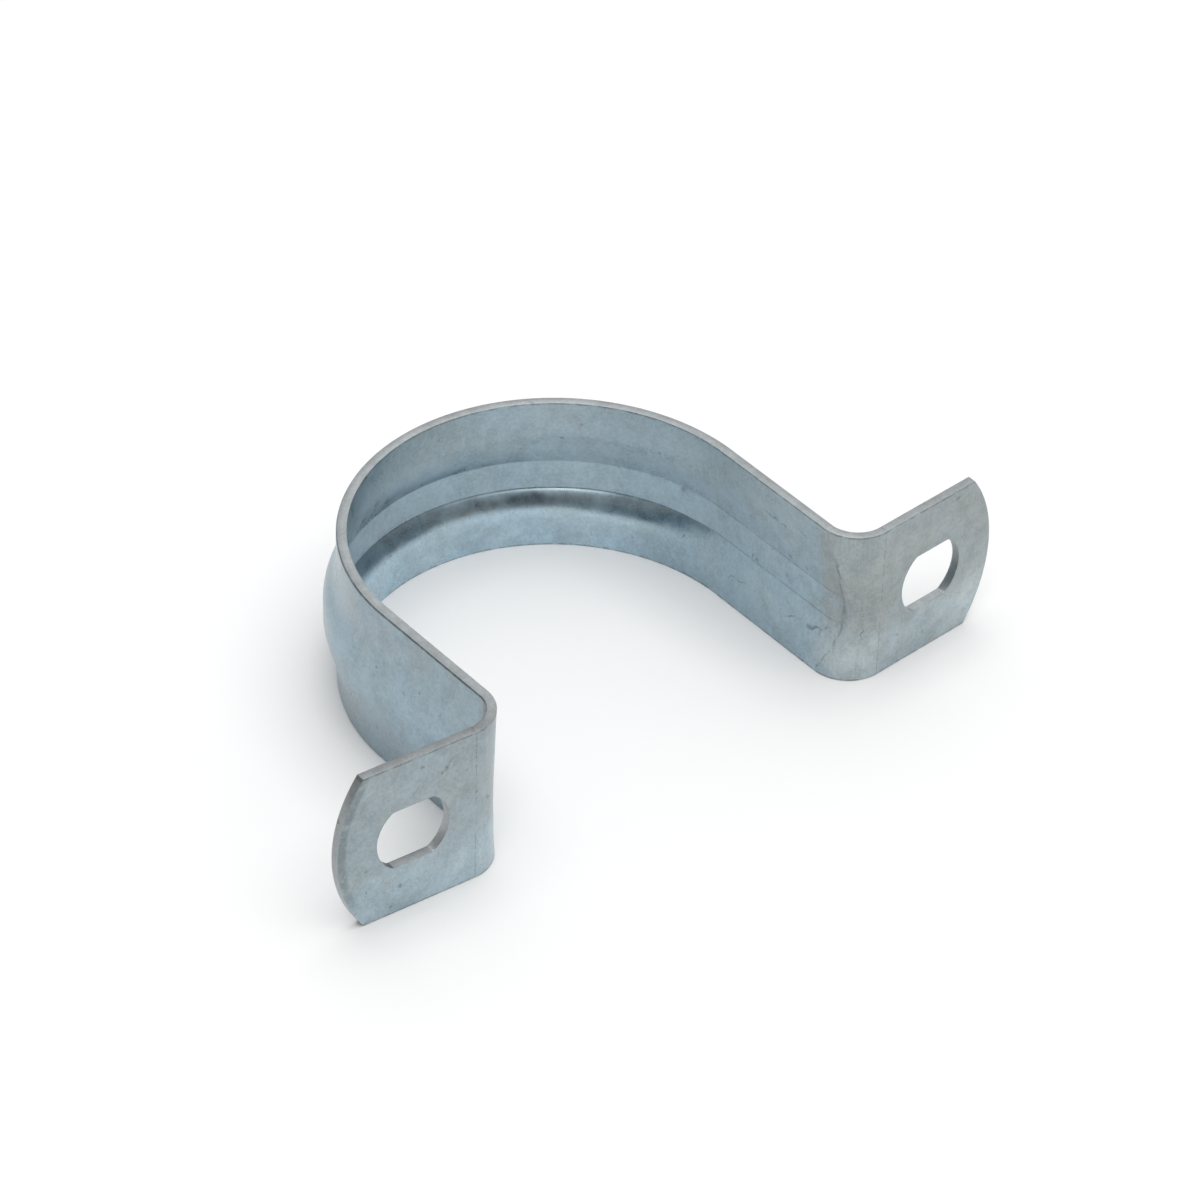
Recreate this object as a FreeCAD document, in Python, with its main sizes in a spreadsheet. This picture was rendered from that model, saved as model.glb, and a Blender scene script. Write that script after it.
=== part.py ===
import FreeCAD, Part
import math
import os
import Sketcher

# A two-hole conduit strap, pressed from one strip of zinc-plated steel.
# Frame: the conduit's axis is Z, with Z = 0 at the strip's lower edge. The arch opens towards -Y,
# where the wall is, and the two ears point along -X and +X.

SIZES = [
    # alias, millimetres or degrees, what it is
    ("conduit_diameter", "44.2", "outside diameter of the conduit that the arch sits on"),
    ("axis_height", "20.8", "conduit axis above the wall"),
    ("strip_width", "19.2", "width of the strip, along the conduit"),
    ("sheet_thickness", "1.15", "thickness of the strip"),
    ("overall_length", "86.5", "across both ears"),
    ("bend_radius", "3.4", "inside radius of the bend between leg and ear"),
    ("ear_setback", "4.1", "degrees that each free ear lifts off the wall"),
    ("ear_end_radius", "16.6", "radius of each ear's rounded end"),
    ("slot_spacing", "68.7", "from the middle of one screw slot to the other"),
    ("slot_length", "8.55", "screw slot along the ear, over its curved ends"),
    ("slot_width", "7.25", "screw slot between its two flats"),
    ("slot_end_radius", "4.4", "radius of the slot's curved ends"),
    ("slot_corner_radius", "0.5", "where the slot's flats meet its curved ends"),
    ("rib_middle", "9.3", "middle of the rib above the lower edge"),
    ("rib_height", "1.4", "how far the rib is pressed out"),
    ("rib_base_width", "11.5", "width of the rib where it leaves the strip"),
    ("rib_crest_width", "1.9", "flat top of the rib, outside"),
    ("rib_crest_radius", "4.0", "rounding beside the rib's flat top"),
    ("groove_floor_low", "6.85", "lower crease of the groove behind the rib, above the strip's lower edge"),
    ("groove_floor_width", "3.6", "flat floor of the groove, from crease to crease"),
    ("edge_radius", "0.2", "soft edge that the blanking die leaves round the outer face"),
    ("overrun", "2.0", "how far a cutting profile reaches past the strip"),
]

TOUCHING = 0.001  # mm

SEAT_RADIUS = "conduit_diameter / 2"
OUTER_RADIUS = "conduit_diameter / 2 + sheet_thickness"
RIB_LOWER_EDGE = "rib_middle - rib_base_width / 2"
MIDDLE = "strip_width / 2"

doc = FreeCAD.newDocument("conduit_strap")
sheet = doc.addObject("Spreadsheet::Sheet", "Sizes")
for row, (alias, number, meaning) in enumerate(SIZES, start=1):
    sheet.set(f"A{row}", meaning)
    sheet.set(f"B{row}", number)
    sheet.setAlias(f"B{row}", alias)
doc.recompute()

body = doc.addObject("PartDesign::Body", "Body")
body.Label = "strap"


def size(expression):
    """What an expression over the sheet's aliases comes to."""
    return float(sheet.evalExpression(expression))


def linked(expression):
    """The same expression as another object of the document writes it."""
    for alias, _, _ in SIZES:
        expression = expression.replace(alias, f"<<Sizes>>.{alias}")
    return expression


def origin_plane(role):
    return next(f for f in body.Origin.OriginFeatures if f.Role == role)


# Sketch helpers. Point 1 of a line or arc is its start, 2 its end, and 3 an arc's centre.
ORIGIN = (-1, 1)
UPRIGHT_AXIS = (-2,)


def new_sketch(name, role):
    sketch = body.newObject("Sketcher::SketchObject", name)
    sketch.AttachmentSupport = [(origin_plane(role), "")]
    sketch.MapMode = "FlatFace"
    return sketch


def line(sketch, start, end):
    ends = FreeCAD.Vector(*start, 0), FreeCAD.Vector(*end, 0)
    return sketch.addGeometry(Part.LineSegment(*ends), False)


def arc(sketch, centre, radius, first_degrees, last_degrees):
    """An anticlockwise arc."""
    circle = Part.Circle(FreeCAD.Vector(*centre, 0), FreeCAD.Vector(0, 0, 1), radius)
    ends = math.radians(first_degrees), math.radians(last_degrees)
    return sketch.addGeometry(Part.ArcOfCircle(circle, *ends), False)


def relate(sketch, kind, *where):
    sketch.addConstraint(Sketcher.Constraint(kind, *where))


def drive(sketch, kind, *where, by):
    """Give the sketch a dimension that follows the sheet."""
    number = size(by)
    if kind == "Angle":
        number = math.radians(number)
    index = sketch.addConstraint(Sketcher.Constraint(kind, *where, number))
    sketch.setExpression(f"Constraints[{index}]", linked(by))


def across(sketch, side, point, by):
    """Hold a point at a distance to the right (side 1) or to the left (side -1) of the origin."""
    ends = (*ORIGIN, *point) if side > 0 else (*point, *ORIGIN)
    drive(sketch, "DistanceX", *ends, by=by)


def strip_face(name, arch_radius, bend_radius, half_length, below_wall):
    """One face of the bent strip, seen along the conduit, closed by lines below the wall."""
    sketch = new_sketch(name, "XY_Plane")
    radius, bend, reach = size(arch_radius), size(bend_radius), size(half_length)
    tilt = size("ear_setback")
    sine, cosine = math.sin(math.radians(tilt)), math.cos(math.radians(tilt))
    bend_y = size("bend_radius + sheet_thickness - axis_height")
    floor_y = -size(f"axis_height + {below_wall}")
    foot = (radius + bend + bend * sine, bend_y - bend * cosine)
    tip = (reach, foot[1] + (reach - foot[0]) * sine / cosine)

    arch = arc(sketch, (0, 0), radius, 0, 180)
    right_leg = line(sketch, (radius, 0), (radius, bend_y))
    right_bend = arc(sketch, (radius + bend, bend_y), bend, 180, 270 + tilt)
    right_ear = line(sketch, foot, tip)
    right_end = line(sketch, tip, (reach, floor_y))
    bottom = line(sketch, (reach, floor_y), (-reach, floor_y))
    left_end = line(sketch, (-reach, floor_y), (-reach, tip[1]))
    left_ear = line(sketch, (-reach, tip[1]), (-foot[0], foot[1]))
    left_bend = arc(sketch, (-radius - bend, bend_y), bend, 270 - tilt, 360)
    left_leg = line(sketch, (-radius, bend_y), (-radius, 0))

    relate(sketch, "Coincident", arch, 3, *ORIGIN)
    relate(sketch, "Tangent", arch, 1, right_leg, 1)
    relate(sketch, "Tangent", right_leg, 2, right_bend, 1)
    relate(sketch, "Tangent", right_bend, 2, right_ear, 1)
    relate(sketch, "Coincident", right_ear, 2, right_end, 1)
    relate(sketch, "Coincident", right_end, 2, bottom, 1)
    relate(sketch, "Coincident", bottom, 2, left_end, 1)
    relate(sketch, "Coincident", left_end, 2, left_ear, 1)
    relate(sketch, "Tangent", left_ear, 2, left_bend, 1)
    relate(sketch, "Tangent", left_bend, 2, left_leg, 1)
    relate(sketch, "Tangent", left_leg, 2, arch, 2)
    for upright in (right_leg, left_leg, right_end, left_end):
        relate(sketch, "Vertical", upright)
    relate(sketch, "Horizontal", bottom)
    relate(sketch, "Symmetric", right_bend, 3, left_bend, 3, *UPRIGHT_AXIS)
    relate(sketch, "Symmetric", right_ear, 2, left_ear, 1, *UPRIGHT_AXIS)
    drive(sketch, "Radius", arch, by=arch_radius)
    drive(sketch, "Radius", right_bend, by=bend_radius)
    drive(sketch, "DistanceY", right_bend, 3, *ORIGIN, by="axis_height - bend_radius - sheet_thickness")
    drive(sketch, "Angle", right_ear, by="ear_setback")
    drive(sketch, "DistanceX", *ORIGIN, right_ear, 2, by=half_length)
    drive(sketch, "DistanceY", bottom, 1, *ORIGIN, by=f"axis_height + {below_wall}")
    return sketch


def arc_at(sketch, side, centre, radius, first_degrees, last_degrees):
    """An arc drawn for the right-hand side, or its mirror image. Returns it and its two ends."""
    if side > 0:
        index = arc(sketch, centre, radius, first_degrees, last_degrees)
        return index, (index, 1), (index, 2)
    index = arc(sketch, (-centre[0], centre[1]), radius, 180 - last_degrees, 180 - first_degrees)
    return index, (index, 2), (index, 1)


def rib_base(sketch, side, face_radius, closing_x, lower_end, upper_end, lower, upper):
    """Hold the feet of a rib section on the sheet's face, and close the section behind them."""
    face, behind = side * size(face_radius), side * size(closing_x)
    low, high = size(RIB_LOWER_EDGE), size(RIB_LOWER_EDGE + " + rib_base_width")
    lower_line = line(sketch, (face, low), (behind, low))
    back = line(sketch, (behind, low), (behind, high))
    upper_line = line(sketch, (behind, high), (face, high))
    relate(sketch, "Coincident", *lower_end, lower_line, 1)
    relate(sketch, "Coincident", lower_line, 2, back, 1)
    relate(sketch, "Coincident", back, 2, upper_line, 1)
    relate(sketch, "Coincident", upper_line, 2, *upper_end)
    relate(sketch, "Horizontal", lower_line)
    relate(sketch, "Vertical", back)
    relate(sketch, "Horizontal", upper_line)
    relate(sketch, "Horizontal", lower, 3, *lower_end)
    relate(sketch, "Horizontal", upper, 3, *upper_end)
    across(sketch, side, lower_end, by=face_radius)
    across(sketch, side, upper_end, by=face_radius)
    across(sketch, side, (back, 1), by=closing_x)
    drive(sketch, "DistanceY", *ORIGIN, *lower_end, by=RIB_LOWER_EDGE)
    drive(sketch, "DistanceY", *lower_end, *upper_end, by="rib_base_width")


def rib_section(sketch, side):
    """The rib outside: a flat crest, rounded on both sides, that sweeps out into the strip."""
    face, height = size(OUTER_RADIUS), size("rib_height")
    low, high = size(RIB_LOWER_EDGE), size(RIB_LOWER_EDGE + " + rib_base_width")
    crest_low = size("rib_middle - rib_crest_width / 2")
    crest_high = size("rib_middle + rib_crest_width / 2")
    crest_radius = size("rib_crest_radius")
    run = crest_low - low
    slope = 2 * math.atan(height / run)
    foot_radius = run / math.sin(slope) - crest_radius
    turn = math.degrees(slope)
    crest_x = face + height

    crest = line(sketch, (side * crest_x, crest_low), (side * crest_x, crest_high))
    crest_centre_x = crest_x - crest_radius
    foot_centre_x = face + foot_radius
    shoulder, shoulder_start, shoulder_end = arc_at(
        sketch, side, (crest_centre_x, crest_high), crest_radius, 0, turn
    )
    upper_foot, upper_start, upper_end = arc_at(
        sketch, side, (foot_centre_x, high), foot_radius, 180, 180 + turn
    )
    lower_shoulder, lower_shoulder_start, lower_shoulder_end = arc_at(
        sketch, side, (crest_centre_x, crest_low), crest_radius, -turn, 0
    )
    lower_foot, lower_start, lower_end = arc_at(
        sketch, side, (foot_centre_x, low), foot_radius, 180 - turn, 180
    )
    relate(sketch, "Vertical", crest)
    relate(sketch, "Tangent", crest, 2, *shoulder_start)
    relate(sketch, "Tangent", *shoulder_end, *upper_end)
    relate(sketch, "Tangent", crest, 1, *lower_shoulder_end)
    relate(sketch, "Tangent", *lower_shoulder_start, *lower_start)
    rib_base(
        sketch, side, OUTER_RADIUS, "conduit_diameter / 2 + sheet_thickness / 2",
        lower_end, upper_start, lower_foot, upper_foot,
    )
    across(sketch, side, (crest, 1), by=OUTER_RADIUS + " + rib_height")
    drive(sketch, "DistanceY", *ORIGIN, crest, 1, by="rib_middle - rib_crest_width / 2")
    drive(sketch, "DistanceY", crest, 1, crest, 2, by="rib_crest_width")
    drive(sketch, "Radius", shoulder, by="rib_crest_radius")
    drive(sketch, "Radius", lower_shoulder, by="rib_crest_radius")


def lip(depth, run):
    """Radius and turn in degrees of an arc that leaves the face smoothly and is `depth` out after `run`."""
    radius = (depth**2 + run**2) / (2 * depth)
    return radius, math.degrees(math.asin(run / radius))


def groove_section(sketch, side):
    """The groove inside: a flat floor that meets two long rounded lips at a crease."""
    face, depth = size(SEAT_RADIUS), size("rib_height")
    low, high = size(RIB_LOWER_EDGE), size(RIB_LOWER_EDGE + " + rib_base_width")
    floor_low = size("groove_floor_low")
    floor_high = size("groove_floor_low + groove_floor_width")
    floor_x = face + depth
    upper_radius, upper_turn = lip(depth, high - floor_high)
    lower_radius, lower_turn = lip(depth, floor_low - low)

    floor = line(sketch, (side * floor_x, floor_low), (side * floor_x, floor_high))
    upper_lip, upper_start, upper_end = arc_at(
        sketch, side, (face + upper_radius, high), upper_radius, 180, 180 + upper_turn
    )
    lower_lip, lower_start, lower_end = arc_at(
        sketch, side, (face + lower_radius, low), lower_radius, 180 - lower_turn, 180
    )
    relate(sketch, "Vertical", floor)
    relate(sketch, "Coincident", floor, 2, *upper_end)
    relate(sketch, "Coincident", floor, 1, *lower_start)
    rib_base(
        sketch, side, SEAT_RADIUS, "conduit_diameter / 2 - overrun",
        lower_end, upper_start, lower_lip, upper_lip,
    )
    across(sketch, side, (floor, 1), by=SEAT_RADIUS + " + rib_height")
    drive(sketch, "DistanceY", *ORIGIN, floor, 1, by="groove_floor_low")
    drive(sketch, "DistanceY", floor, 1, floor, 2, by="groove_floor_width")


def slot_outline(sketch):
    """The right-hand screw slot: two flats, two curved ends and four small corners."""
    middle = size(MIDDLE)
    half_width, half_length = size("slot_width") / 2, size("slot_length") / 2
    end_radius, corner = size("slot_end_radius"), size("slot_corner_radius")
    centre = size("slot_spacing") / 2
    outer_x = centre + half_length - end_radius
    inner_x = centre - half_length + end_radius
    rise = half_width - corner
    reach = math.sqrt((end_radius - corner) ** 2 - rise**2)
    turn = math.degrees(math.atan2(rise, reach))
    top, bottom = middle + half_width, middle - half_width
    corner_top, corner_bottom = middle + rise, middle - rise
    outer_corner_x, inner_corner_x = outer_x + reach, inner_x - reach

    outer_end = arc(sketch, (outer_x, middle), end_radius, -turn, turn)
    outer_top = arc(sketch, (outer_corner_x, corner_top), corner, turn, 90)
    upper_flat = line(sketch, (outer_corner_x, top), (inner_corner_x, top))
    inner_top = arc(sketch, (inner_corner_x, corner_top), corner, 90, 180 - turn)
    inner_end = arc(sketch, (inner_x, middle), end_radius, 180 - turn, 180 + turn)
    inner_bottom = arc(sketch, (inner_corner_x, corner_bottom), corner, 180 + turn, 270)
    lower_flat = line(sketch, (inner_corner_x, bottom), (outer_corner_x, bottom))
    outer_bottom = arc(sketch, (outer_corner_x, corner_bottom), corner, 270, 360 - turn)
    loop = (
        outer_end, outer_top, upper_flat, inner_top, inner_end, inner_bottom, lower_flat, outer_bottom,
    )
    for here, following in zip(loop, loop[1:] + loop[:1]):
        relate(sketch, "Tangent", here, 2, following, 1)
    relate(sketch, "Horizontal", upper_flat)
    relate(sketch, "Horizontal", lower_flat)
    for end in (outer_end, inner_end):
        drive(sketch, "Radius", end, by="slot_end_radius")
        drive(sketch, "DistanceY", *ORIGIN, end, 3, by=MIDDLE)
    for corner_arc in (outer_top, inner_top, inner_bottom, outer_bottom):
        drive(sketch, "Radius", corner_arc, by="slot_corner_radius")
    outer_centre = "slot_spacing / 2 + slot_length / 2 - slot_end_radius"
    inner_centre = "slot_spacing / 2 - slot_length / 2 + slot_end_radius"
    drive(sketch, "DistanceX", *ORIGIN, outer_end, 3, by=outer_centre)
    drive(sketch, "DistanceX", *ORIGIN, inner_end, 3, by=inner_centre)
    drive(sketch, "DistanceY", *ORIGIN, upper_flat, 1, by=MIDDLE + " + slot_width / 2")
    drive(sketch, "DistanceY", *ORIGIN, lower_flat, 1, by=MIDDLE + " - slot_width / 2")


def ear_end_outline(sketch):
    """What is cut away beyond the right-hand ear's rounded end."""
    middle, over = size(MIDDLE), size("overrun")
    radius, tip = size("ear_end_radius"), size("overall_length") / 2
    centre_x = tip - radius
    half = middle + over
    turn = math.degrees(math.asin(half / radius))
    arc_x = centre_x + math.sqrt(radius**2 - half**2)
    far, low, high = tip + over, -over, middle + half

    round_end = arc(sketch, (centre_x, middle), radius, -turn, turn)
    upper = line(sketch, (arc_x, high), (far, high))
    outside = line(sketch, (far, high), (far, low))
    lower = line(sketch, (far, low), (arc_x, low))
    relate(sketch, "Coincident", round_end, 2, upper, 1)
    relate(sketch, "Coincident", upper, 2, outside, 1)
    relate(sketch, "Coincident", outside, 2, lower, 1)
    relate(sketch, "Coincident", lower, 2, round_end, 1)
    relate(sketch, "Horizontal", upper)
    relate(sketch, "Vertical", outside)
    relate(sketch, "Horizontal", lower)
    drive(sketch, "Radius", round_end, by="ear_end_radius")
    drive(sketch, "DistanceX", *ORIGIN, round_end, 3, by="overall_length / 2 - ear_end_radius")
    drive(sketch, "DistanceY", *ORIGIN, round_end, 3, by=MIDDLE)
    drive(sketch, "DistanceX", *ORIGIN, outside, 1, by="overall_length / 2 + overrun")
    drive(sketch, "DistanceY", *ORIGIN, upper, 1, by="strip_width + overrun")
    drive(sketch, "DistanceY", lower, 1, *ORIGIN, by="overrun")


def pad(name, sketch, length):
    feature = body.newObject("PartDesign::Pad", name)
    feature.Profile = sketch
    feature.setExpression("Length", linked(length))
    return feature


def pocket(name, sketch, length):
    """Cut to the side that the sketch's plane faces, as a pad would grow."""
    feature = body.newObject("PartDesign::Pocket", name)
    feature.Profile = sketch
    feature.setExpression("Length", linked(length))
    feature.Reversed = True
    return feature


def half_turn(kind, name, sketch):
    """Turn a section half a turn about the conduit's axis, over the arch."""
    feature = body.newObject(kind, name)
    feature.Profile = sketch
    feature.ReferenceAxis = (sketch, ["V_Axis"])
    feature.Angle = 180
    return feature


# 1. The block under the strip's outer face, as wide as the strip.
outer_face = strip_face("OuterFace", OUTER_RADIUS, "bend_radius", "overall_length / 2", "overrun")
pad("Block", outer_face, "strip_width")

# 2. The rib: half a turn over the arch, then straight down both legs to the wall.
arch_rib = new_sketch("ArchRibSection", "XZ_Plane")
rib_section(arch_rib, 1)
half_turn("PartDesign::Revolution", "ArchRib", arch_rib)
leg_ribs = new_sketch("LegRibSections", "XZ_Plane")
rib_section(leg_ribs, 1)
rib_section(leg_ribs, -1)
pad("LegRibs", leg_ribs, "axis_height")

# 3. Everything on the wall's side of the strip's inner face is taken out.
inner_face = strip_face(
    "InnerFace", SEAT_RADIUS, "bend_radius + sheet_thickness",
    "overall_length / 2 + overrun", "overrun * 2",
)
pocket("Opening", inner_face, "strip_width")

# 4. The groove behind the rib. It runs down each leg and out through the round of the bend.
arch_groove = new_sketch("ArchGrooveSection", "XZ_Plane")
groove_section(arch_groove, 1)
half_turn("PartDesign::Groove", "ArchGroove", arch_groove)
leg_grooves = new_sketch("LegGrooveSections", "XZ_Plane")
groove_section(leg_grooves, 1)
groove_section(leg_grooves, -1)
pocket("LegGrooves", leg_grooves, "axis_height + overrun")

# 5. Each ear's screw slot and rounded end, cut on the right and mirrored to the left.
slot_sketch = new_sketch("SlotOutline", "XZ_Plane")
slot_outline(slot_sketch)
slot = pocket("Slot", slot_sketch, "axis_height + overrun")
end_sketch = new_sketch("EarEndOutline", "XZ_Plane")
ear_end_outline(end_sketch)
ear_end = pocket("EarEnd", end_sketch, "axis_height + overrun")
doc.recompute()
left_ear = body.newObject("PartDesign::Mirrored", "LeftEar")
left_ear.Originals = [slot, ear_end]
left_ear.MirrorPlane = (origin_plane("YZ_Plane"), [""])
body.Tip = left_ear
doc.recompute()


def on_outer_rim(edge):
    """Whether an edge lies on the outer face where the blank was cut: along its sides or round its ends."""
    middle = edge.valueAt((edge.FirstParameter + edge.LastParameter) / 2)
    flattened = Part.Vertex(middle.x, middle.y, 0)
    above_inner_face = inner_face.Shape.distToShape(flattened)[0]
    to_side = min(abs(middle.z), abs(size("strip_width") - middle.z))
    beyond_slot = abs(middle.x) > size("slot_spacing / 2 + slot_length / 2")
    return above_inner_face > size("sheet_thickness * 0.9") and (to_side < TOUCHING or beyond_slot)


# 6. The die leaves the outer face's rim slightly rounded.
rim_names = [
    f"Edge{number}" for number, edge in enumerate(left_ear.Shape.Edges, start=1) if on_outer_rim(edge)
]
rim = body.newObject("PartDesign::Fillet", "OuterRim")
rim.Base = (left_ear, rim_names)
rim.setExpression("Radius", linked("edge_radius"))
body.Tip = rim
doc.recompute()

for item in doc.Objects:
    if "Invalid" in item.State or "Error" in item.State:
        raise RuntimeError(f"{item.Label} did not rebuild: {item.State}")
body.Placement = FreeCAD.Placement()
strap = body.Shape
if strap.isNull() or not strap.isValid() or len(strap.Solids) != 1:
    raise RuntimeError("the strap is not one valid solid")
os.makedirs("parts", exist_ok=True)
strap.exportStep("parts/strap.step")
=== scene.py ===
import math
from types import SimpleNamespace

import bpy
import bmesh
import numpy as np
from mathutils import Matrix, Vector


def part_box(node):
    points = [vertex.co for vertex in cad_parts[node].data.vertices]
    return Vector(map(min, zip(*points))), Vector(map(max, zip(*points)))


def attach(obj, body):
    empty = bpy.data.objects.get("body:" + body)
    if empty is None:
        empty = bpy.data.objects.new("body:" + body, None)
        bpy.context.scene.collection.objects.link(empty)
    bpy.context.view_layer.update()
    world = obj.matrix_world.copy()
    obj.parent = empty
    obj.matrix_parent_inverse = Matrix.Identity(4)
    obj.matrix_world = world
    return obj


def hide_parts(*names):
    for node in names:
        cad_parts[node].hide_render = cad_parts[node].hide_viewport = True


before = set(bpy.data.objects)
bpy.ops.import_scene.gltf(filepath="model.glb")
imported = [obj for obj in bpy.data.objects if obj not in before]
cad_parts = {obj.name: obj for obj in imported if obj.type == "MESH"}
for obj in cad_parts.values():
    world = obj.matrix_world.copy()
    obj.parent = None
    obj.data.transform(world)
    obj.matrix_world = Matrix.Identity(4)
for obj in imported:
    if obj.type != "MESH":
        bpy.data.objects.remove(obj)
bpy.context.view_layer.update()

# The camera: where it aims and how far off it stands, in metres, its angles, and its lens in mm.
AIM = Vector((-0.04710, -0.06319, 0.07247))
DISTANCE = 0.43696
AZIMUTH, ELEVATION, ROLL = (math.radians(a) for a in (-39.9045, 38.4516, 1.8465))
LENS, SENSOR = 153.6, 36

# The solid's corners, in metres, and half its width.
LOW, HIGH = (Vector(corner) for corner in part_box("strap"))
MIDDLE = (HIGH.z - LOW.z) / 2

# The strip, in millimetres, as in the solid.
SEAT = 22.1
SHEET = 1.15
AXIS_HEIGHT = 20.8
BEND = 3.4
EAR_TILT = math.radians(4.1)
STRIP = 19.2
HALF_LENGTH = 43.25
RIB_LOW, RIB_HIGH, RIB_HEIGHT = 3.55, 15.05, 1.4
CREST_LOW, CREST_HIGH, CREST_RADIUS = 8.35, 10.25, 4.0
FLOOR_LOW, FLOOR_HIGH = 6.85, 10.45
SLOT_MIDDLE, SLOT_HALF_LENGTH, SLOT_HALF_WIDTH = 34.35, 4.275, 3.625
SLOT_END_RADIUS, SLOT_CORNER = 4.4, 0.5
END_RADIUS = 16.6

# What the mesh shows more finely than the solid, in millimetres.
ROLLED, BROKEN = 0.24, 0.06  # edge radii of the outer and the inner face
SLOT_ROLL = 1.5  # how much tighter the slot's outer edge is rolled
BEND_DISH, BEND_DISH_MIDDLE = 0.20, 8.0  # how deep the bends are dished, and at what height
DISH = 1.25  # depth of the groove down the legs
STEP, STEP_RUN = 0.03, 0.05  # the short steep foot of the rib's lower side, inside
CREASE, LEG_CREASE = 0.07, 0.9  # how softly the creases are pressed: inside, and outside down the legs
EASED_FROM, EASED_RUN = 3.0, 11.0  # where the groove's upper side comes to be straighter
FULLER = 0.35  # share by which the rib's lower side bulges towards the strip's edge, outside
HOLLOW, EASED, BULGING = 1.25, 1.1, 1.4  # powers of the sides' curves, where 1 is a straight side
RIB_END_TURN = 1.2  # how far round the bend the rib and the groove run out, in radians
RUN_OUT_BLUR, RUN_OUT_TURN = 0.10, 0.4  # how softly they do, and from what turn on

WALL_BEND = BEND + SHEET
BEND_X, BEND_Y = SEAT + WALL_BEND, WALL_BEND - AXIS_HEIGHT
BEND_TURN = math.pi / 2 + EAR_TILT
ARCH_END = SEAT * math.pi / 2
LEG_END = ARCH_END - BEND_Y
SPREAD_FROM, SPREAD_TO = ARCH_END - 13, ARCH_END + 1
BEND_END = LEG_END + WALL_BEND * BEND_TURN


def lip(depth, run, past):
    """Depth of an arc that leaves the face smoothly and is `depth` deep after `run`."""
    radius = (depth**2 + run**2) / (2 * depth)
    return radius - np.sqrt(radius**2 - np.clip(past, 0, run) ** 2)


def groove_depth(z, eased):
    """Depth of the groove behind the rib, over the arch. Its upper side is straighter where eased."""
    lower = lip(RIB_HEIGHT - STEP, FLOOR_LOW - RIB_LOW, z - RIB_LOW)
    lower = lower + STEP * np.clip((z - FLOOR_LOW) / STEP_RUN + 1, 0, 1)
    run = RIB_HIGH - FLOOR_HIGH
    upper = 0.5 * lip(RIB_HEIGHT, run, RIB_HIGH - z)
    upper = upper + 0.5 * RIB_HEIGHT * np.clip((RIB_HIGH - z) / run, 0, 1) ** HOLLOW
    easy = RIB_HEIGHT * np.clip((RIB_HIGH - z) / run, 0, 1) ** EASED
    return np.minimum(lower, upper + eased * (easy - upper))


def dish_depth(z):
    """The same down the legs, where the sides of the rib spread out to the strip's edges."""
    lower = np.clip(z / FLOOR_LOW, 0, 1) ** HOLLOW
    upper = np.clip((STRIP - z) / (STRIP - FLOOR_HIGH), 0, 1) ** HOLLOW
    return DISH * np.minimum(lower, upper)


def softly(depth, z, reach):
    """A depth with its creases rounded."""
    steps = np.linspace(-2, 2, 17)
    weights = np.exp(-(steps**2) / 2)
    return np.average([depth(z + step * reach) for step in steps], axis=0, weights=weights)


def spreading(along):
    """How far the rib's sides have spread, from 0 over the arch to 1 down the legs."""
    share = np.clip((along - SPREAD_FROM) / (SPREAD_TO - SPREAD_FROM), 0, 1)
    return share * share * (3 - 2 * share)


def circle_height(radius, aside):
    """Height of a circle above its centre, at a distance aside from it."""
    return np.sqrt(np.maximum(radius**2 - np.minimum(aside, radius) ** 2, 0))


def rib_rise(z):
    """How far the rib stands out, at a height on the strip."""
    run = CREST_LOW - RIB_LOW
    slope = 2 * math.atan(RIB_HEIGHT / run)
    foot_radius = run / math.sin(slope) - CREST_RADIUS
    out = np.maximum(np.maximum(CREST_LOW - z, z - CREST_HIGH), 0)
    past = np.clip(run - out, 0, run)
    foot = foot_radius - circle_height(foot_radius, past)
    crest = RIB_HEIGHT - CREST_RADIUS + circle_height(CREST_RADIUS, out)
    rise = np.where(past < foot_radius * math.sin(slope), foot, crest)
    full = RIB_HEIGHT * np.clip(z / CREST_LOW, 0, 1) ** BULGING
    return np.where(z < CREST_LOW, rise + FULLER * (full - rise), rise)


def run_out(depth, radius, turn):
    """What is left of a straight groove or rib where the strip bends away from it."""
    left = radius - (radius - depth) / np.maximum(np.cos(turn), 0.2)
    soft = RUN_OUT_BLUR * np.clip(depth / RIB_HEIGHT, 0, 1) * np.clip(turn / RUN_OUT_TURN, 0, 1)
    return 0.5 * (left + np.sqrt(left**2 + soft**2))


def roll(to_edge, radius):
    """How much a face drops towards an edge that is rounded off."""
    short = np.clip(radius - to_edge, 0, radius)
    return radius - np.sqrt(radius**2 - short**2)


def bend_turn(along):
    """How far round its bend the strip has turned, in radians."""
    return np.clip((along - LEG_END) / WALL_BEND, 0, BEND_TURN)


def pressed(along, z, outer, eased):
    """How far the strip is pressed outwards: by its rib or groove, and by the dish of its bends."""
    if outer:
        over_arch, crease = rib_rise(z), LEG_CREASE
    else:
        over_arch, crease = softly(lambda height: groove_depth(height, eased), z, CREASE), CREASE
    share = spreading(along)
    press = (1 - share) * over_arch + share * softly(dish_depth, z, crease)
    turn = bend_turn(along)
    bent = run_out(press, WALL_BEND - (SHEET if outer else 0.0), turn)
    press = np.where(along > LEG_END, np.where(turn < RIB_END_TURN, bent, 0), press)
    across = np.clip(1 - ((z - BEND_DISH_MIDDLE) / (STRIP - BEND_DISH_MIDDLE)) ** 2, 0, 1)
    across = across * np.clip(z / 2, 0, 1)
    return press + BEND_DISH * across * np.sin(math.pi * turn / BEND_TURN)


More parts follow.
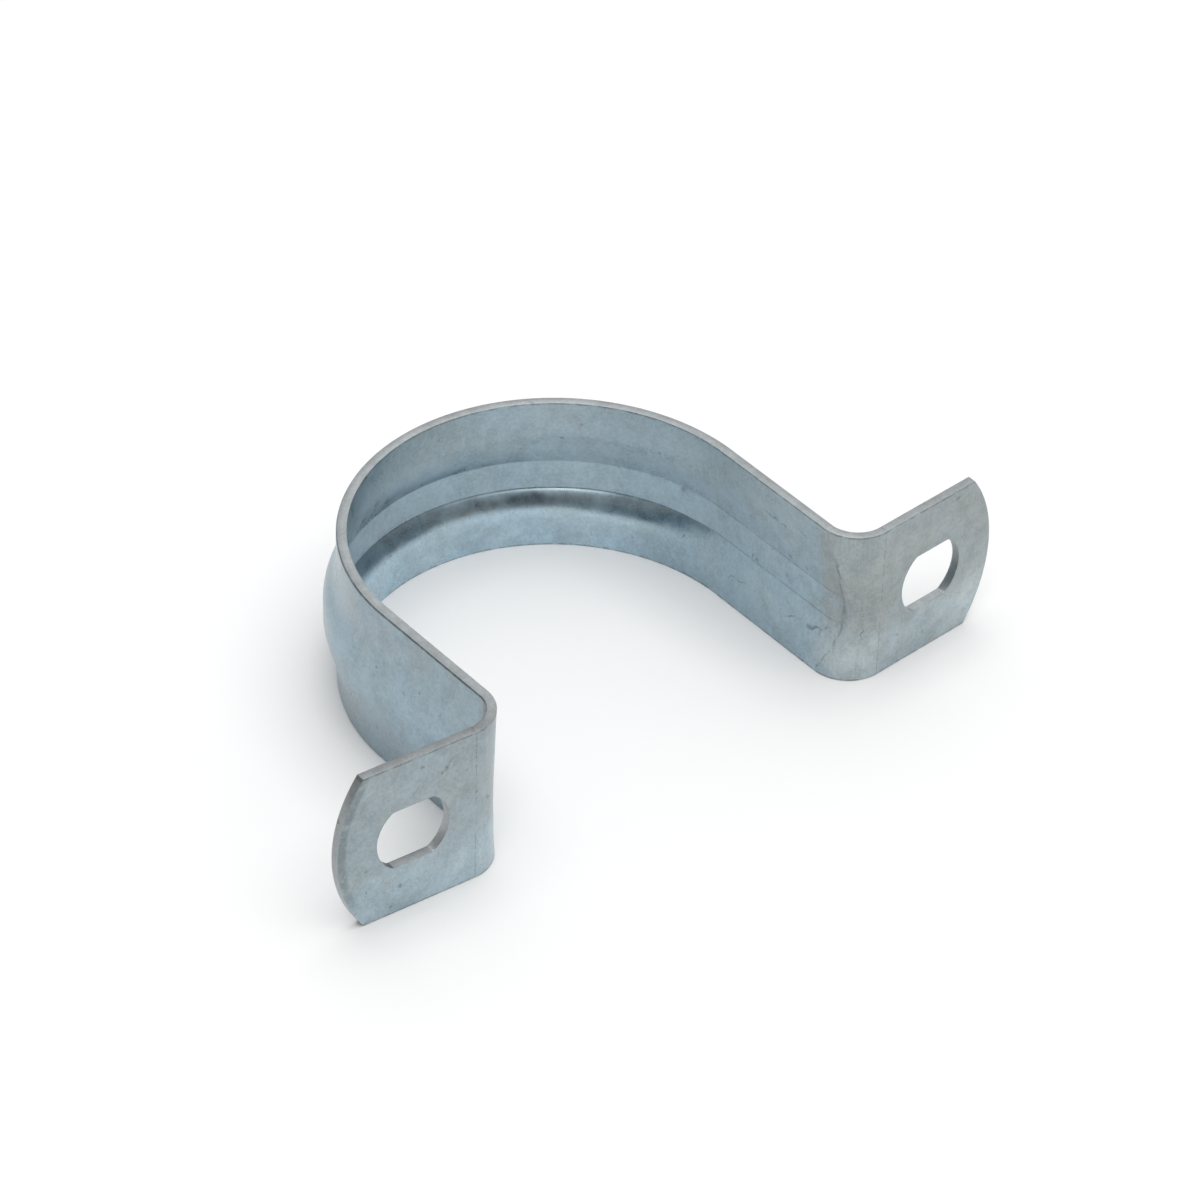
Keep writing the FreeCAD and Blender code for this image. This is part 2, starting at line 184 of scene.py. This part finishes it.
def strip_point(along, z, outer):
    """A point of the strip, up to its ears, as x and y. Its right half is the positive one."""
    side, along = np.where(along < 0, -1, 1), np.abs(along)
    eased = np.clip((side * along - EASED_FROM) / EASED_RUN, 0, 1)
    drop = roll(np.minimum(z, STRIP - z), ROLLED if outer else BROKEN)
    press = pressed(along, z, outer, eased)
    off = SHEET + press - drop if outer else press + drop
    angle = math.pi / 2 - np.minimum(along, ARCH_END) / SEAT
    turn = bend_turn(along)
    parts = [along <= ARCH_END, along <= LEG_END]
    x = np.select(parts, [(SEAT + off) * np.cos(angle), SEAT + off],
                  BEND_X - (WALL_BEND - off) * np.cos(turn))
    y = np.select(parts, [(SEAT + off) * np.sin(angle), ARCH_END - along],
                  BEND_Y - (WALL_BEND - off) * np.sin(turn))
    return side * x, y


def ear_start(outer):
    return BEND_X + (WALL_BEND - (SHEET if outer else 0)) * math.sin(EAR_TILT)


def ear_height(x, to_edge, outer):
    """The ear's height over the wall, less what its edges drop."""
    base = BEND_Y - WALL_BEND * math.cos(EAR_TILT) + (x - ear_start(False)) * math.tan(EAR_TILT)
    if outer:
        return base + SHEET / math.cos(EAR_TILT) - roll(to_edge, ROLLED)
    return base + roll(to_edge, BROKEN)


def slot_loop():
    """The slot's outline, from its outer end round, as x and z."""
    rise = SLOT_HALF_WIDTH - SLOT_CORNER
    reach = math.sqrt((SLOT_END_RADIUS - SLOT_CORNER) ** 2 - rise**2)
    turn = math.atan2(rise, reach)
    end_x = SLOT_HALF_LENGTH - SLOT_END_RADIUS
    quarter = [(end_x + SLOT_END_RADIUS * math.cos(a), SLOT_END_RADIUS * math.sin(a))
               for a in np.linspace(0, turn, 14)]
    quarter += [(end_x + reach + SLOT_CORNER * math.cos(a), rise + SLOT_CORNER * math.sin(a))
                for a in np.linspace(turn, math.pi / 2, 7)[1:]]
    quarter += [(x, SLOT_HALF_WIDTH) for x in np.linspace(end_x + reach, 0, 8)[1:]]
    half = quarter + [(-x, z) for x, z in quarter[-2::-1]]
    loop = half + [(x, -z) for x, z in half[-2:0:-1]]
    return np.array(loop) + (SLOT_MIDDLE, STRIP / 2)


def ear_frame_point(direction, start):
    """Where a ray from the slot's middle leaves the ear."""
    dx, dz = direction
    reaches = []
    if abs(dz) > 1e-9:
        reaches.append(STRIP / 2 / abs(dz))
    if dx < -1e-9:
        reaches.append((start - SLOT_MIDDLE) / dx)
    centre = HALF_LENGTH - END_RADIUS - SLOT_MIDDLE
    reaches.append(dx * centre + math.sqrt((dx * centre) ** 2 - centre**2 + END_RADIUS**2))
    return min(reach for reach in reaches if reach > 0)


# Distances from an edge, in millimetres, at which the mesh has a row of points to round it off.
NEAR_EDGE = (0.015, 0.04, 0.09, 0.16, 0.24)
MERGED = 2e-7  # metres between two points that come to be one
SHARP = math.radians(32)  # edges that turn by more than this stay crisp


class Sheet:
    """Grids of points, in millimetres, that come to be one mesh."""

    def __init__(self):
        self.points, self.along, self.faces = [], [], []

    def grid(self, x, y, z, along, closed=False):
        """A grid of points, rows by columns. A closed one joins its last row to its first."""
        first = len(self.points)
        rows, columns = x.shape
        self.points += list(zip(x.ravel() / 1000, y.ravel() / 1000, z.ravel() / 1000))
        self.along += list(along.ravel())
        for row in range(rows if closed else rows - 1):
            here, following = first + row * columns, first + (row + 1) % rows * columns
            for column in range(columns - 1):
                corners = (here, following, following + 1, here + 1)
                self.faces.append(tuple(corner + column for corner in corners))

    def made(self, name):
        mesh = bpy.data.meshes.new(name)
        mesh.from_pydata(self.points, [], self.faces)
        along = mesh.attributes.new("along", "FLOAT", "POINT")
        along.data.foreach_set("value", self.along)
        work = bmesh.new()
        work.from_mesh(mesh)
        bmesh.ops.remove_doubles(work, verts=work.verts, dist=MERGED)
        bmesh.ops.recalc_face_normals(work, faces=work.faces)
        work.to_mesh(mesh)
        work.free()
        for polygon in mesh.polygons:
            polygon.use_smooth = True
        mesh.set_sharp_from_angle(angle=SHARP)
        return mesh


def steps_through(*stops):
    """Numbers through several stops, each stop given with the count of even steps that reach it."""
    numbers = [stops[0]]
    for stop, steps in stops[1:]:
        numbers += list(np.linspace(numbers[-1], stop, steps + 1)[1:])
    return np.array(numbers)


def strip_mesh():
    sheet = Sheet()
    beside = 0.3  # the rows are closer this far from a crease
    inner_z = steps_through(
        NEAR_EDGE[-1], (FLOOR_LOW - beside, 26), (FLOOR_LOW + beside, 9),
        (FLOOR_HIGH - beside, 8), (FLOOR_HIGH + beside, 9), (STRIP - NEAR_EDGE[-1], 30),
    )
    upper_edge = [STRIP - distance for distance in NEAR_EDGE[-2::-1]]
    heights = np.array([0, *NEAR_EDGE[:-1], *inner_z, *upper_edge, STRIP])
    half = steps_through(0, (ARCH_END, 96), (LEG_END, 24), (BEND_END, 56))
    along = np.concatenate([-half[:0:-1], half])
    a, z = np.meshgrid(along, heights, indexing="ij")
    faces = []
    for outer in (False, True):
        x, y = strip_point(a, z, outer)
        faces.append((x, y))
        sheet.grid(x, y, z, a)
    for side in (0, -1):
        rim = [np.stack([face[k][:, side] for face in faces], axis=1) for k in (0, 1)]
        sheet.grid(*rim, np.stack([z[:, side]] * 2, axis=1), np.stack([a[:, side]] * 2, axis=1))
    add_ears(sheet, heights)
    return sheet.made("zinc_strip")


def turn_to(x, z):
    """The angle at which a point of the ear lies round the slot's middle."""
    return math.atan2(z - STRIP / 2, x - SLOT_MIDDLE)


def ear_rings(outer, rays, slot_reach):
    """An ear's points on the right, one row to a ray: x, height over the wall, and z."""
    start = ear_start(outer)
    near = np.array([0.0, *NEAR_EDGE])
    share = np.linspace(0, 1, 9)[1:-1]
    rows = []
    for ray, close in zip(rays, slot_reach):
        far = ear_frame_point(ray, start)
        span = far - close
        between = close + near[-1] + share * (span - 2 * near[-1])
        rows.append([*(close + near), *between, *(far - near[::-1])])
    rings = np.array(rows)
    x = SLOT_MIDDLE + rays[:, :1] * rings
    z = np.clip(STRIP / 2 + rays[:, 1:] * rings, 0, STRIP)
    to_end = END_RADIUS - np.hypot(x - (HALF_LENGTH - END_RADIUS), z - STRIP / 2)
    to_side = np.minimum(z, STRIP - z)
    to_slot = (rings - slot_reach[:, None]) * (SLOT_ROLL if outer else 1)
    to_edge = np.minimum(np.minimum(to_end, to_side), to_slot)
    return x, ear_height(x, np.maximum(to_edge, 0), outer), z


def add_ears(sheet, heights):
    """Both ears, each a ring of points from its slot's outline out to its own."""
    loop = slot_loop()
    # A ray through each of the outline's points and corners, and one to each point of the bend's
    # end, so that the two grids meet.
    end_run = END_RADIUS - math.sqrt(END_RADIUS**2 - (STRIP / 2) ** 2)
    corners = [(x, z) for x in (ear_start(False), HALF_LENGTH - end_run) for z in (0.0, STRIP)]
    bend_points = [(ear_start(False), z) for z in heights]
    angles = [turn_to(x, z) for x, z in (*loop, *corners, *bend_points)]
    angles += list(np.linspace(-math.pi, math.pi, 120, endpoint=False))
    angles = np.unique(np.round(np.mod(angles, 2 * math.pi), 6))
    rays = np.array([(math.cos(angle), math.sin(angle)) for angle in angles])
    loop_angles = np.mod([turn_to(x, z) for x, z in loop], 2 * math.pi)
    loop_reach = np.hypot(*(loop - (SLOT_MIDDLE, STRIP / 2)).T)
    order = np.argsort(loop_angles)
    slot_reach = np.interp(angles, loop_angles[order], loop_reach[order], period=2 * math.pi)
    for side in (-1, 1):
        walls, ends = [], []
        for outer in (False, True):
            x, y, z = ear_rings(outer, rays, slot_reach)
            along = side * (BEND_END + (x - ear_start(False)) / math.cos(EAR_TILT))
            sheet.grid(side * x, y, z, along, closed=True)
            walls.append((side * x[:, 0], y[:, 0], z[:, 0], along[:, 0]))
            ends.append((side * x[:, -1], y[:, -1], z[:, -1], along[:, -1]))
        for pair in (walls, ends):
            sheet.grid(*(np.stack([face[k] for face in pair], axis=1) for k in range(4)), closed=True)


def add_camera():
    level_right = Vector((math.cos(AZIMUTH), math.sin(AZIMUTH), 0))
    back = Vector((
        math.sin(AZIMUTH) * math.cos(ELEVATION),
        -math.cos(AZIMUTH) * math.cos(ELEVATION),
        math.sin(ELEVATION),
    ))
    level_up = back.cross(level_right)
    right = math.cos(ROLL) * level_right + math.sin(ROLL) * level_up
    up = -math.sin(ROLL) * level_right + math.cos(ROLL) * level_up
    turn = Matrix((right, up, back)).transposed().to_4x4()
    data = bpy.data.cameras.new("camera")
    data.lens = LENS
    data.sensor_width = SENSOR
    camera = bpy.data.objects.new("camera", data)
    camera.matrix_world = Matrix.Translation(AIM + DISTANCE * back) @ turn
    bpy.context.scene.collection.objects.link(camera)
    bpy.context.scene.camera = camera


def soft_box(name, place, size, watts):
    """A square lamp that shines at the strap."""
    data = bpy.data.lights.new(name, "AREA")
    data.shape = "SQUARE"
    data.size = size
    data.energy = watts
    lamp = bpy.data.objects.new(name, data)
    lamp.location = place
    to_strap = Vector((0, 0, 0)) - Vector(place)
    lamp.rotation_euler = to_strap.to_track_quat("-Z", "Y").to_euler()
    bpy.context.scene.collection.objects.link(lamp)


class Nodes:
    """A short way to write a shader's nodes. Masks are numbers from 0 to 1."""

    def __init__(self, tree):
        self.tree = tree

    def add(self, kind, inputs=None, **settings):
        node = self.tree.nodes.new("ShaderNode" + kind)
        for key, value in settings.items():
            setattr(node, key, value)
        for key, value in (inputs or {}).items():
            self.put(node, key, value)
        return node

    def put(self, node, key, value):
        if isinstance(value, bpy.types.NodeSocket):
            self.tree.links.new(value, node.inputs[key])
        else:
            node.inputs[key].default_value = value

    def math(self, operation, *values):
        return self.add("Math", dict(enumerate(values)), operation=operation).outputs[0]

    def times(self, *values):
        """The product of numbers, or where several masks hold at once."""
        result = values[0]
        for value in values[1:]:
            result = self.math("MULTIPLY", result, value)
        return result

    def rest(self, mask):
        """Where a mask doesn't hold."""
        return self.math("SUBTRACT", 1.0, mask)

    def ramp(self, value, start, end, low=0.0, high=1.0):
        """Smoothly from low to high as the value goes from start to end."""
        inputs = {"Value": value, "From Min": start, "From Max": end, "To Min": low, "To Max": high}
        return self.add("MapRange", inputs, interpolation_type="SMOOTHSTEP").outputs["Result"]

    def shade(self, tone, mask, factor):
        """The tone, times a factor where the mask holds."""
        return self.math("MULTIPLY", tone, self.ramp(mask, 0.0, 1.0, 1.0, factor))

    def vector(self, operation, first, second):
        return self.add("VectorMath", {0: first, 1: second}, operation=operation).outputs[0]

    def scaled(self, vector, scale):
        return self.add("VectorMath", {0: vector, "Scale": scale}, operation="SCALE").outputs[0]

    def dot(self, vector, direction):
        node = self.add("VectorMath", {0: vector, 1: direction}, operation="DOT_PRODUCT")
        return node.outputs["Value"]

    def noise(self, place, scale, detail=3.0, roughness=0.55, stretch=None):
        if stretch:
            place = self.add("Mapping", {"Vector": place, "Scale": stretch}).outputs["Vector"]
        inputs = {"Vector": place, "Scale": scale, "Detail": detail, "Roughness": roughness}
        return self.add("TexNoise", inputs).outputs["Fac"]

    def noise_vector(self, place, scale, detail):
        inputs = {"Vector": place, "Scale": scale, "Detail": detail}
        return self.add("TexNoise", inputs).outputs["Color"]

    def blend(self, amount, first, second, kind="MIX"):
        node = self.add("Mix", data_type="RGBA", blend_type=kind)
        self.put(node, 0, amount)
        self.put(node, 6, first)
        self.put(node, 7, second)
        return node.outputs[2]

    def mark(self, place, start, end, width, ragged):
        """A scratch or a line between two points, ragged by a noise from 0 to 1."""
        start, end = Vector((*start, 0)), Vector((*end, 0))
        run = end - start
        from_start = self.vector("SUBTRACT", place, start)
        share = self.math("DIVIDE", self.dot(from_start, run), run.length_squared)
        share = self.math("MINIMUM", self.math("MAXIMUM", share, 0.0), 1.0)
        apart = self.vector("SUBTRACT", from_start, self.scaled(run, share))
        distance = self.add("VectorMath", {0: apart}, operation="LENGTH").outputs["Value"]
        distance = self.math("ADD", distance, self.math("MULTIPLY", ragged, 1.6 * width))
        return self.ramp(distance, 1.9 * width, 0.8 * width)

    def most(self, *masks):
        """Where any of several masks holds."""
        result = masks[0]
        for mask in masks[1:]:
            result = self.math("MAXIMUM", result, mask)
        return result

    def grey(self, value):
        return self.add("CombineColor", {0: value, 1: value, 2: value}).outputs[0]


def material(name):
    made = bpy.data.materials.new(name)
    made.use_nodes = True
    return made, Nodes(made.node_tree), made.node_tree.nodes["Principled BSDF"]


# The finish. What each thing does to the metal's tone: a range of factors, or one factor.
CLOUDS, MOTTLE, GRAIN, STREAKS = (0.93, 1.06), (0.90, 1.09), (0.91, 1.08), (0.95, 1.04)
# Painted light on the ears' lower part, painted shade on the outer face, and painted light below the rib
# inside.
LOWER_EAR_PAINTED_LIGHT, OUTER_FACE_PAINTED_SHADE, BELOW_RIB_PAINTED_LIGHT = 1.34, 0.88, 1.30
# The edge and crease factors here are painted shade.
SPECK, EDGE_PAINTED_SHADE, LEFT_END_BAND, CREASE_PAINTED_SHADE, DIE_LINE, SCRATCHED = 0.66, 0.68, 0.72, 0.74, 0.72, 0.60

# Its colours. Each of the zinc's is a pair that it wanders between.
BLUE = (0.335, 0.440, 0.505, 1), (0.350, 0.445, 0.495, 1)
NEUTRAL = (0.310, 0.353, 0.366, 1), (0.326, 0.359, 0.360, 1)
CUT_METAL = (0.39, 0.415, 0.425, 1)

# Places, in metres: where the ears' flats start, and the radius of the ears' ends.
EAR_START = 0.0268
EAR_END_RADIUS = 0.0166

# Places along the strip, in millimetres: where the left leg bends into its ear, and that ear's tip.
LEFT_BEND = -50.0, -55.0
LEFT_TIP = -70.3, -71.3

# Scratches and small dents, in millimetres: from and to (along the strip and up it), and width.
SCRATCHES = [
    ((48.7, 4.3), (49.3, 4.4), 0.42),
    ((49.3, 4.5), (50.8, 5.0), 0.20),
    ((50.6, 5.1), (50.7, 4.4), 0.16),
    ((50.8, 5.0), (52.3, 5.9), 0.12),
    ((41.6, 15.4), (44.8, 15.3), 0.12),
    ((42.9, 15.3), (43.6, 15.5), 0.36),
    ((28.3, 9.9), (28.6, 10.0), 0.36),
    ((38.6, 12.7), (39.4, 13.0), 0.18),
    ((52.8, 15.8), (53.5, 13.4), 0.32),
    ((46.8, 16.5), (48.4, 15.9), 0.12),
    ((44.2, 2.6), (46.8, 4.4), 0.10),
    ((36.0, 3.2), (38.6, 3.8), 0.10),
    ((56.2, 7.0), (56.3, 5.2), 0.12),
    ((-61.0, 17.4), (-62.5, 15.7), 0.11),
    ((-61.9, 16.4), (-62.5, 15.6), 0.30),
    ((-68.2, 1.0), (-68.5, 1.1), 0.36),
    ((-56.6, 9.5), (-56.7, 9.8), 0.36),
    ((-64.6, 15.2), (-66.4, 14.3), 0.09),
]


def where_on_strip(n):
    """Places and masks that the finish goes by. Along, far and up are in millimetres."""
    at = SimpleNamespace()
    at.place = n.add("TexCoord").outputs["Object"]
    part = n.add("SeparateXYZ", {0: at.place}).outputs
    normal = n.add("SeparateXYZ", {0: n.add("NewGeometry").outputs["Normal"]}).outputs
    at.x, y, z = part["X"], part["Y"], part["Z"]
    at.beside = n.math("ABSOLUTE", at.x)
    at.facing_up = n.math("ABSOLUTE", normal["Z"])
    at.facing_wall = n.math("ABSOLUTE", normal["Y"])
    at.along = n.add("Attribute", attribute_name="along").outputs["Fac"]
    at.far = n.math("ABSOLUTE", at.along)
    at.up = n.math("MULTIPLY", z, 1000.0)
    at.flat = n.add("CombineXYZ", {0: at.along, 1: at.up}).outputs[0]
    at.from_middle = n.math("ABSOLUTE", n.math("SUBTRACT", z, MIDDLE))
    at.to_rim = n.math("SUBTRACT", MIDDLE, at.from_middle)

    at.ragged = n.noise(at.place, 900.0, 3.0)
    at.wander = n.noise(at.place, 220.0, 2.0)
    at.cloud = n.noise(at.place, 130.0, 3.0, 0.6)
    at.mottle = n.noise(at.place, 520.0, 4.0, 0.65)

    # The ears' more neutral finish starts in the bends, along a patchy line.
    patchy = n.noise(at.place, 330.0, 3.0, 0.65)
    ear_line = n.math("ADD", at.far, n.math("MULTIPLY", n.math("SUBTRACT", patchy, 0.5), 11.0))
    at.on_ear = n.ramp(ear_line, LEG_END - 2.5, LEG_END + 2.5)
    # The outer face, over the arch and down to the bends.
    outward = n.math("MULTIPLY", normal["Y"], n.math("MAXIMUM", y, 0.0))
    outward = n.math("MULTIPLY_ADD", normal["X"], at.x, outward)
    at.outside = n.times(n.ramp(outward, -0.002, 0.002), n.ramp(at.far, BEND_END, LEG_END))
    at.inside = n.rest(at.outside)
    # Cut metal: the strip's rims, the ears' ends and the slots' walls.
    at.cut_rim = n.ramp(at.facing_up, 0.86, 0.97)
    at.past_bend = n.ramp(at.beside, EAR_START, EAR_START + 0.0002)
    at.cut = n.most(at.cut_rim, n.times(at.past_bend, n.ramp(at.facing_wall, 0.85, 0.35)))
    # Below the rib, inside, the arch gets painted light, and its roughness is lowered there.
    at.burnished = n.times(n.ramp(at.up, 6.0, 4.0), n.ramp(at.far, ARCH_END, 16.0), at.inside)
    return at


def plating_tone(n, at):
    """Cloudy patches, a fine mottle and a grain, worth a few per cent each, painted light on the ears'
    lower part and below the rib, painted shade on the outer face, and sparse dark specks.
    """
    grain = n.noise(at.place, 2600.0, 2.0, 0.7)
    tone = n.ramp(at.cloud, 0.30, 0.70, *CLOUDS)
    tone = n.times(tone, n.ramp(at.mottle, 0.25, 0.75, *MOTTLE))
    # Painted light: the ears are made lighter towards their lower edge.
    tone = n.shade(tone, n.times(n.ramp(at.up, 11.0, 1.0), at.on_ear), LOWER_EAR_PAINTED_LIGHT)
    tone = n.times(tone, n.ramp(grain, 0.25, 0.75, *GRAIN))
    # Painted shade: the outer face is made darker.
    tone = n.shade(tone, at.outside, OUTER_FACE_PAINTED_SHADE)
    # Painted light: the arch below the rib, inside, is made lighter.
    tone = n.shade(tone, at.burnished, BELOW_RIB_PAINTED_LIGHT)

    jitter = n.scaled(n.noise_vector(at.place, 2400.0, 2.0), 0.0007)
    jittered = n.vector("ADD", at.place, jitter)
    cells = n.add("TexVoronoi", {"Vector": jittered, "Scale": 760.0, "Randomness": 1.0}).outputs
    rare = n.add("SeparateColor", {0: cells["Color"]}).outputs[0]
    speck = n.times(n.ramp(cells["Distance"], 0.28, 0.10), n.ramp(rare, 0.86, 0.99))
    return n.shade(tone, speck, SPECK)


def with_edge_shade_and_end_band(n, at, tone):
    """Painted shade in the corners and on the rolled edges beside the cut rim, and a dark band round the
    left ear's end.
    """
    # Painted shade: the corners beside the cut rim and the rolled edges are darkened.
    off_rim = n.ramp(at.facing_up, 0.95, 0.75)
    corner = n.times(n.ramp(at.to_rim, 0.00032, 0.00012), off_rim)
    rolled = n.times(n.ramp(at.facing_up, 0.10, 0.35), off_rim, n.ramp(at.to_rim, 0.0004, 0.0003))
    edge = n.times(n.most(corner, rolled), n.ramp(at.ragged, 0.30, 0.62))
    tone = n.shade(tone, edge, EDGE_PAINTED_SHADE)

    run = n.math("SUBTRACT", at.beside, HIGH.x - EAR_END_RADIUS)
    reach = n.math("ADD", n.math("POWER", run, 2.0), n.math("POWER", at.from_middle, 2.0))
    reach = n.math("SQRT", reach)
    # A dark band round the left ear's end.
    band = n.times(
        n.ramp(reach, EAR_END_RADIUS - 0.0013, EAR_END_RADIUS - 0.0006),
        n.ramp(at.up, 2.0, 5.0),
        n.ramp(at.x, 0.0, -0.001),
        at.past_bend,
        n.ramp(at.facing_wall, 0.5, 0.8),
        n.ramp(at.ragged, 0.28, 0.58, 0.35, 1.0),
    )
    return n.shade(tone, band, LEFT_END_BAND)


def with_crease_shade_and_die_marks(n, at, tone):
    """Painted shade in the groove's creases, thin and dark down the legs, and what the die draws into the
    bends.
    """
    # Painted shade: a thin dark line along each of the groove's creases down the legs.
    to_crease = n.math(
        "MINIMUM",
        n.math("ABSOLUTE", n.math("SUBTRACT", at.up, FLOOR_LOW)),
        n.math("ABSOLUTE", n.math("SUBTRACT", at.up, FLOOR_HIGH)),
    )
    crease = n.times(
        n.ramp(to_crease, 0.16, 0.03),
        n.ramp(at.far, ARCH_END - 9, ARCH_END),
        n.ramp(at.far, LEG_END + 2.5, LEG_END + 1),
        n.ramp(at.ragged, 0.30, 0.60, 0.5, 1.0),
        at.inside,
    )
    tone = n.shade(tone, crease, CREASE_PAINTED_SHADE)

    past_leg = n.ramp(at.far, LEG_END - 0.5, LEG_END + 0.8)
    in_bend = n.times(past_leg, n.ramp(at.far, BEND_END + 0.5, BEND_END - 2))
    streaks = n.noise(at.flat, 1.0, 3.0, 0.7, stretch=(3.2, 0.16, 1.0))
    streaks = n.ramp(streaks, 0.30, 0.70, *STREAKS)
    tone = n.times(tone, n.blend(in_bend, (1, 1, 1, 1), n.grey(streaks)))

    # One line, bowed towards the arch at both its ends, with a wobble.
    bow = n.math("POWER", n.math("DIVIDE", n.math("SUBTRACT", at.up, 9.0), 7.0), 2.0)
    line = n.math("SUBTRACT", at.far, n.math("MULTIPLY_ADD", bow, -2.0, LEG_END + 3.0))
    line = n.math("ADD", line, n.math("MULTIPLY", n.math("SUBTRACT", at.wander, 0.5), 1.2))
    line = n.times(
        n.ramp(n.math("ABSOLUTE", line), 0.26, 0.05),
        n.ramp(at.ragged, 0.38, 0.60),
        n.ramp(at.up, 16.8, 15.6),
    )
    return n.shade(tone, line, DIE_LINE)


def with_scratches(n, at, tone):
    """The scratches and small dents, made crooked by a noise."""
    crooked = n.vector("SUBTRACT", n.noise_vector(at.flat, 1.1, 3.0), (0.5, 0.5, 0.5))
    crooked = n.vector("MULTIPLY", crooked, (1.3, 1.3, 0.0))
    crooked = n.vector("ADD", crooked, at.flat)
    scratches = n.most(*(n.mark(crooked, *scratch, at.ragged) for scratch in SCRATCHES))
    scratches = n.times(scratches, n.ramp(at.ragged, 0.60, 0.40, 0.45, 1.0), at.inside)
    return n.shade(tone, scratches, SCRATCHED)


def zinc_colour(n, at, tone):
    """Bluish in the arch, more neutral on the ears and on the cut metal, and shaded by the tone."""
    wandering = n.ramp(at.wander, 0.35, 0.65)
    paler = n.ramp(at.up, 11.0, 17.0, 0.0, 0.30)
    # The left ear is the bluer one, and both are bluer towards their lower edge.
    bluer = n.math("ADD", n.ramp(at.along, *LEFT_BEND, 0.0, 0.30), n.ramp(at.up, 10.0, 2.0, 0.0, 0.25))
    neutral = n.most(n.times(at.on_ear, n.rest(bluer)), paler)
    colour = n.blend(neutral, n.blend(wandering, *BLUE), n.blend(wandering, *NEUTRAL))
    colour = n.blend(at.cut, colour, CUT_METAL)
    # Cut metal is duller on the ears: most on the left one's rim, and a little on the right and at
    # the left one's tip.
    dull = n.most(
        n.times(at.cut_rim, n.ramp(at.along, -LEG_END, -BEND_END, 0.0, 0.32)),
        n.times(at.cut, n.ramp(at.along, *LEFT_TIP, 0.0, 0.14)),
        n.times(at.cut, n.ramp(at.along, LEG_END, BEND_END, 0.0, 0.16)),
    )
    return n.blend(1.0, colour, n.grey(n.times(tone, n.rest(dull))), "MULTIPLY")


def zinc():
    """Bluish electroplated zinc: satin, cloudy, mottled, specked and scratched, with painted shade at its
    edges, creases and outer face, and painted light below the rib and on the ears' lower part.
    """
    made, n, shader = material("zinc_plated_steel")
    at = where_on_strip(n)
    tone = plating_tone(n, at)
    for step in (with_edge_shade_and_end_band, with_crease_shade_and_die_marks, with_scratches):
        tone = step(n, at, tone)
    n.put(shader, "Base Color", zinc_colour(n, at, tone))
    shader.inputs["Metallic"].default_value = 1.0

    # Rougher where the mottle and the clouds are paler and where the metal is cut, and a little smoother
    # below the rib, inside, where the colour has painted light.
    rough = n.ramp(at.mottle, 0.25, 0.75, 0.25, 0.36)
    rough = n.math("ADD", rough, n.ramp(at.cloud, 0.3, 0.7, -0.03, 0.04))
    rough = n.math("ADD", rough, n.ramp(at.cut, 0.0, 1.0, 0.0, 0.14))
    rough = n.math("SUBTRACT", rough, n.math("MULTIPLY", at.burnished, 0.06))
    n.put(shader, "Roughness", rough)

    ripple = n.add("Bump", {"Height": at.wander, "Strength": 0.08, "Distance": 0.00003})
    pits = n.add("Bump", {"Height": at.mottle, "Strength": 0.05, "Distance": 0.00001})
    n.put(pits, "Normal", ripple.outputs["Normal"])
    n.put(shader, "Normal", pits.outputs["Normal"])
    return made


# What stands in the room that the metal mirrors: the directions to it, and its colours.
WINDOW = (0.56, 0.59, 0.58)
LEFT_STAND, RIGHT_STAND, WOODEN_STAND = (-0.35, -0.86, 0.37), (0.66, -0.72, 0.20), (0.10, -0.96, 0.24)
DARK, WOOD = (0.12, 0.125, 0.13, 1), (0.30, 0.21, 0.17, 1)


def studio():
    """A plain room: a pale ceiling that darkens towards the walls, a window and three stands."""
    world = bpy.data.worlds.new("studio")
    bpy.context.scene.world = world
    world.use_nodes = True
    n = Nodes(world.node_tree)
    direction = n.add("TexCoord").outputs["Generated"]
    height = n.add("SeparateXYZ", {0: direction}).outputs["Z"]
    ceiling = n.ramp(height, 0.72, 0.93, 0.36, 0.80)
    window = n.ramp(n.dot(direction, WINDOW), 0.55, 0.95, 0.0, 0.62)
    colour = n.grey(n.math("ADD", ceiling, window))
    # Two dark stands to the front, and a wooden one between them.
    left_stand = n.ramp(n.dot(direction, LEFT_STAND), 0.905, 0.960)
    right_stand = n.ramp(n.dot(direction, RIGHT_STAND), 0.975, 0.990)
    colour = n.blend(n.most(left_stand, right_stand), colour, DARK)
    colour = n.blend(n.ramp(n.dot(direction, WOODEN_STAND), 0.985, 0.995), colour, WOOD)
    background = world.node_tree.nodes["Background"]
    n.put(background, "Color", colour)
    background.inputs["Strength"].default_value = 1.0


add_camera()
studio()
bpy.context.scene.view_settings.view_transform = "Standard"

visual = bpy.data.objects.new("zinc_strip", strip_mesh())
bpy.context.scene.collection.objects.link(visual)
visual.data.materials.append(zinc())
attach(visual, "root")
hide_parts("strap")

# A plain pale floor under the strap's lower edge.
bpy.ops.mesh.primitive_plane_add(size=12)
floor = bpy.context.object
floor.name = "floor"
paper, _, paper_shader = material("paper")
paper_shader.inputs["Base Color"].default_value = (0.93, 0.93, 0.93, 1)
paper_shader.inputs["Roughness"].default_value = 0.9
paper_shader.inputs["Specular IOR Level"].default_value = 0.1
floor.data.materials.append(paper)

soft_box("ceiling", (0.0, -0.22, 1.2), size=1.3, watts=8.5)
soft_box("front_left", (-0.44, -0.37, 0.98), size=0.35, watts=0.9)
